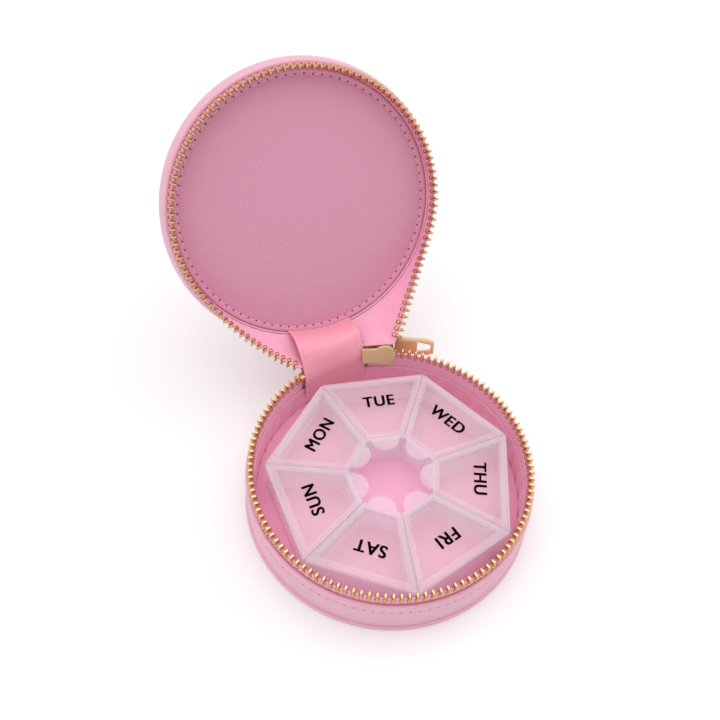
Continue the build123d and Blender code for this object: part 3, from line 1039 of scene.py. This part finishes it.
@dataclass
class FabricHinge:
    """Satin strip inside and leather strip outside, bent across the hinge for the open lid."""

    finishes: Finishes
    left: float = -15.5
    right: float = 9.5
    satin_base: float = 48.2
    satin_lid: float = 48.72
    cover_reach: float = 52.75
    cover_trim: float = 1.2
    satin_levels: tuple[float, float, float, float] = (-13.0, -4.5, 1.0, 7.2)
    satin_handle: float = 7.0
    cover_levels: tuple[float, float, float, float] = (-11.0, -3.0, 3.0, 8.2)
    cover_handle: float = 2.6
    base_share: float = 0.28
    lid_share: float = 0.8
    satin_thickness: float = 0.4
    crease_depth: float = 0.14
    cover_length: float = 24.0
    cover_thickness: float = 0.9
    stitch_inset: float = 1.9
    stitches: int = 12
    stitch_size: Triple = (0.4, 1.7, 0.3)
    stitch_edge: float = 0.12
    stitch_lift: float = 0.12
    sewn_from: float = 0.06
    sewn_share: float = 0.9

    def path(
        self,
        radii: tuple[float, float],
        levels: tuple[float, float, float, float],
        handle: float,
        x: float,
        share: float,
    ) -> Vector:
        """A point of a strip: up the base's wall, over a bend and along the lid's wall.

        Args:
            radii: The strip's radius in the base and in the lid.
            levels: Low and high ends of its stretch in the base, then near and far ends in the lid.
            handle: Reach of the bend's handles.
            x: Place across the strip.
            share: Place along the strip, from 0 in the base to 1 in the lid.

        Returns:
            The point in millimetres.
        """
        base_y, lid_y = (math.sqrt(radius**2 - x**2) for radius in radii)
        low, high, near, far = levels
        closing = LAYOUT.closing
        if share < self.base_share:
            return Vector((x, base_y, closing + low + (high - low) * share / self.base_share))
        if share > self.lid_share:
            rest = (share - self.lid_share) / (1 - self.lid_share)
            return LAYOUT.lid_point(x, lid_y, near + (far - near) * rest)
        start = Vector((x, base_y, closing + high))
        end = LAYOUT.lid_point(x, lid_y, near)
        first = start + Vector((0, 0, handle))
        second = LAYOUT.lid_point(x, lid_y, near - handle)
        t = (share - self.base_share) / (self.lid_share - self.base_share)
        return start * (1 - t) ** 3 + first * 3 * t * (1 - t) ** 2 + second * 3 * t**2 * (1 - t) + end * t**3

    def satin(self, across: float, along: float) -> Vector:
        """A point of the satin strip, with its slight creases."""
        x = self.left + (self.right - self.left) * across
        radii = (self.satin_base, self.satin_lid)
        point = self.path(radii, self.satin_levels, self.satin_handle, x, along)
        wave = math.sin(23 * along + 1.7 * math.sin(4 * across))
        crease = self.crease_depth * wave * math.sin(math.pi * along)
        return point + Vector((0, -0.6, 0.8)) * crease

    def cover(self, across: float, along: float) -> Vector:
        """A point of the outer leather strip, cut short of the slider."""
        x = self.left + (self.right - self.cover_trim - self.left) * across
        radii = (self.cover_reach, self.cover_reach)
        return self.path(radii, self.cover_levels, self.cover_handle, x, along)

    def build(self) -> None:
        """Builds and dresses both strips and the sewing of the satin."""
        width = self.right - self.left
        steps = 60
        middle = [self.satin(0.5, step / steps) for step in range(steps + 1)]
        length = sum((there - here).length for here, there in zip(middle, middle[1:]))
        flat = (width, length)
        strip = cloth_grid("hinge_satin_strip", self.satin, flat, (24, steps), self.satin_thickness)
        settle(strip, "", Slot.SATIN, self.finishes.satin, node="hinge_lining")
        flat = (width, self.cover_length)
        cover = cloth_grid("hinge_leather_strip", self.cover, flat, (20, 40), self.cover_thickness)
        settle(cover, "", Slot.LEATHER, self.finishes.leather, node="hinge_cover")
        stitch = rounded_block("strip_stitch", self.stitch_size, self.stitch_edge)
        places = []
        small = 0.01
        for across in (self.stitch_inset / width, 1 - self.stitch_inset / width):
            for step in range(self.stitches):
                along = self.sewn_from + self.sewn_share * (step + 0.5) / self.stitches
                here = self.satin(across, along)
                run = (self.satin(across, along + small) - here).normalized()
                side = Vector((1, 0, 0))
                up = side.cross(run).normalized()
                turn = Matrix((side, run, up)).transposed().to_4x4()
                places.append(Matrix.Translation((here + up * self.stitch_lift) * MM) @ turn)
        sewing = repeat("hinge_strip_stitches", stitch, places)
        settle(sewing, "", Slot.SATIN, self.finishes.thread)


@dataclass
class DayTray:
    """The seven-day tray, its lids and their lettering."""

    finishes: Finishes
    first_angle: float = math.radians(128.714)
    day_angle: float = math.tau / 7
    word_radius: float = 31.0
    word_height: float = 4.5
    word_middle: tuple[float, float] = (0.6, -1.9)
    word_stretch: float = 0.95
    word_spacing: float = 1.12
    bold: float = 0.2
    window_sink: float = 0.35
    print_depth: float = 0.06
    print_lift: float = 0.04
    tray_edge: float = 0.35
    tray_floor: float = 1.05
    lid_edge: float = 0.2
    lid_depth: float = 1.4
    level: float = 0.9
    closeness: float = 0.05

    def build(self) -> None:
        """Builds and dresses the tray, the lids and the words."""
        tray = softened("pill_tray", "day_tray", self.tray_edge)
        settle(tray, Body.TRAY.value, Slot.PLASTIC, self.finishes.frosted, self.finishes.clear)
        low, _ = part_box("pill_tray")
        floor_top = low.z + self.tray_floor * MM
        for face in tray.data.polygons:
            face.material_index = int(face.center.z < floor_top and abs(face.normal.z) > self.level)
        for place, day in enumerate(DAYS):
            lid = softened(f"day_lid_{day}", f"{day}_day_lid", self.lid_edge)
            settle(lid, f"{day}_lid", Slot.PLASTIC, self.finishes.frosted, self.finishes.clear)
            _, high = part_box(f"day_lid_{day}")
            floor = high.z - self.window_sink * MM
            for face in lid.data.polygons:
                sunk = abs(face.center.z - floor) < self.closeness * MM
                under = face.normal.z < -self.level and face.center.z > high.z - self.lid_depth * MM
                face.material_index = int(sunk or under)
            self.word(day, self.first_angle - place * self.day_angle, floor)

    def word(self, day: str, angle: float, floor: float) -> None:
        """Prints one day's short name on its lid, its top pointing outwards.

        Args:
            day: The day's short name.
            angle: The lid's direction from the tray's middle.
            floor: Height of the window's surface, in metres.
        """
        deselect()
        bpy.ops.object.text_add()
        word = bpy.context.object
        word.data.body = day.upper()
        word.data.align_x = "CENTER"
        word.data.align_y = "CENTER"
        word.data.space_character = self.word_spacing
        word.data.extrude = 0.01
        bpy.ops.object.convert(target="MESH")
        word = bpy.context.object
        corners = [vertex.co.copy() for vertex in word.data.vertices]
        low = Vector([min(c[axis] for c in corners) for axis in range(3)])
        high = Vector([max(c[axis] for c in corners) for axis in range(3)])
        size = self.word_height * MM / (high.y - low.y)
        thin = self.print_depth * MM / (high.z - low.z)
        shape = Matrix.Diagonal((size * self.word_stretch, size, thin, 1.0))
        outward = Vector((math.cos(angle), math.sin(angle), 0))
        spot = Vector((*self.word_middle, 0)) + outward * self.word_radius
        place = Matrix.Translation((spot.x * MM, spot.y * MM, floor + self.print_lift * MM))
        turn = Matrix.Rotation(angle - math.pi / 2, 4, "Z")
        word.data.transform(shape @ Matrix.Translation(-(low + high) / 2))
        step = self.bold * MM
        shifts = [(along * step, up * step, 0) for along in (-1, 0, 1) for up in (-0.5, 0.5)]
        strikes = [Matrix.Translation(shift) for shift in shifts]
        printed = repeat(f"{day}_lettering", word.data, [place @ turn @ strike for strike in strikes])
        bpy.data.objects.remove(word)
        settle(printed, f"{day}_lid", None, self.finishes.ink)


@dataclass
class Studio:
    """Plain white floor, soft lamps and the photograph's camera."""

    camera_at: Triple = (-83.923, -141.010, 300.641)
    right: Triple = (0.92410612, -0.37928548, 0.04658772)
    down: Triple = (-0.27862947, -0.75220789, -0.59711717)
    forward: Triple = (0.26152152, 0.53881891, -0.80080002)
    lens_mm: float = 45.0
    sensor_mm: float = 36.0
    floor_side_m: float = 6.0
    sun_width: float = math.radians(70)
    fill_side_m: float = 0.8
    room_light: float = 0.55
    aim_m: Triple = (0.0, 0.03, 0.03)

    def build(self) -> None:
        """Sets the camera, floor, world and lamps."""
        self.camera()
        self.floor()
        self.world()
        self.lamp("broad_daylight", LampKind.SUN, (0.0, 0.1, 1.0), energy=1.4, angle=self.sun_width)
        self.lamp("right_fill", LampKind.AREA, (0.8, 0.1, 0.5), energy=1.6, size=self.fill_side_m)
        self.lamp("left_fill", LampKind.AREA, (-0.8, 0.1, 0.5), energy=0.9, size=self.fill_side_m)
        bpy.context.scene.view_settings.view_transform = "Standard"
        # The nested see-through pockets need more passes than the default before light is cut off
        bpy.context.scene.cycles.transparent_max_bounces = 32

    def camera(self) -> None:
        """Puts the camera where the photograph was taken from."""
        data = bpy.data.cameras.new("photo_camera")
        data.lens = self.lens_mm
        data.sensor_width = self.sensor_mm
        camera = link_new("photo_camera", data)
        axes = (Vector(self.right), -Vector(self.down), -Vector(self.forward))
        turn = Matrix(axes).transposed().to_4x4()
        camera.matrix_world = Matrix.Translation(Vector(self.camera_at) * MM) @ turn
        bpy.context.scene.camera = camera

    def floor(self) -> None:
        """Lays the white floor."""
        deselect()
        bpy.ops.mesh.primitive_plane_add(size=self.floor_side_m)
        floor = bpy.context.object
        floor.name = "white_floor"
        material = bpy.data.materials.new("white_floor")
        material.use_nodes = True
        surface = material.node_tree.nodes["Principled BSDF"]
        surface.inputs["Base Color"].default_value = linear("#FBFBFB")
        surface.inputs["Roughness"].default_value = 0.9
        surface.inputs["Specular IOR Level"].default_value = 0.1
        floor.data.materials.append(material)

    def world(self) -> None:
        """Makes the surroundings white to the eye and a soft light on the case."""
        world = bpy.data.worlds.new("white_room")
        bpy.context.scene.world = world
        world.use_nodes = True
        tree = world.node_tree
        tree.nodes.clear()
        rays = add_node(tree, "ShaderNodeLightPath").outputs
        shown = rays["Is Camera Ray"]
        for kind in ("Is Glossy Ray", "Is Transmission Ray"):
            links = {0: shown, 1: rays[kind]}
            shown = add_node(tree, "ShaderNodeMath", links=links, operation="MAXIMUM").outputs[0]
        span = {"To Min": self.room_light, "To Max": 1.0}
        strength = add_node(tree, "ShaderNodeMapRange", span, {"Value": shown})
        white = {"Color": (1.0, 1.0, 1.0, 1.0)}
        light = add_node(tree, "ShaderNodeBackground", white, {"Strength": strength.outputs[0]})
        add_node(tree, "ShaderNodeOutputWorld", links={"Surface": light.outputs[0]})

    def lamp(self, name: str, kind: LampKind, at: Triple, **settings: float) -> None:
        """Hangs one soft lamp that points at the case.

        Args:
            name: The lamp's name.
            kind: A sun, which lights floor and case evenly, or an area.
            at: Its place in metres, or the direction to a sun.
            settings: Its strength and breadth.
        """
        data = bpy.data.lights.new(name, kind.value)
        for key, value in settings.items():
            setattr(data, key, value)
        lamp = link_new(name, data)
        lamp.location = at
        aim = Vector(self.aim_m) if kind is LampKind.AREA else Vector()
        lamp.rotation_euler = (aim - Vector(at)).to_track_quat("-Z", "Y").to_euler()


def main() -> None:
    """Builds the case's sub-assemblies in order."""
    logging.basicConfig(level=logging.INFO)
    finishes = Finishes()
    Shell(finishes).build()
    Padding(finishes).build()
    FabricHinge(finishes).build()
    Zip(finishes).build()
    DayTray(finishes).build()
    Studio().build()


if __name__ == "__main__":
    main()
